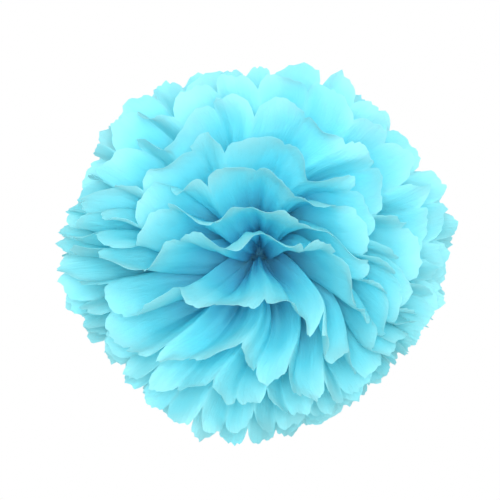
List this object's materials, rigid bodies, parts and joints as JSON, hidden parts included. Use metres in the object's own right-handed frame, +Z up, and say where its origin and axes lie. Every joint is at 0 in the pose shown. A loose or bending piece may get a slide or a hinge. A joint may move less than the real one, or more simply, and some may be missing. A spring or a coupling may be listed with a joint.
{
  "type": "tissue paper pom pom",
  "caption": "Ball of pleated tissue sheets with rounded ends, gathered at the waist by a twisted wire and fluffed open; a hanging decoration.",
  "frame": {"origin": "middle of the gathered waist, inside the loop of the binding wire, which is the middle of the ball", "axes": "+Z up through the upper wings as the ball hangs, X along the gathered waist with the wire's twisted end towards +X, -Y towards the front crown that faces the viewer"},
  "size_m": [0.2576, 0.2588, 0.248],
  "materials": {
    "tissue": "matte, thin, lets light through",
    "wire": "plain florist's wire, satin"
  },
  "bodies": {
    "root": {"tissue_sheet_01": "tissue", "tissue_sheet_02": "tissue", "tissue_sheet_03": "tissue", "tissue_sheet_04": "tissue", "tissue_sheet_05": "tissue", "tissue_sheet_06": "tissue", "tissue_sheet_07": "tissue", "tissue_sheet_08": "tissue", "tissue_sheet_09": "tissue", "tissue_sheet_10": "tissue", "tissue_sheet_11": "tissue", "tissue_sheet_12": "tissue", "binding_wire": "wire"}
  },
  "joints": []
}
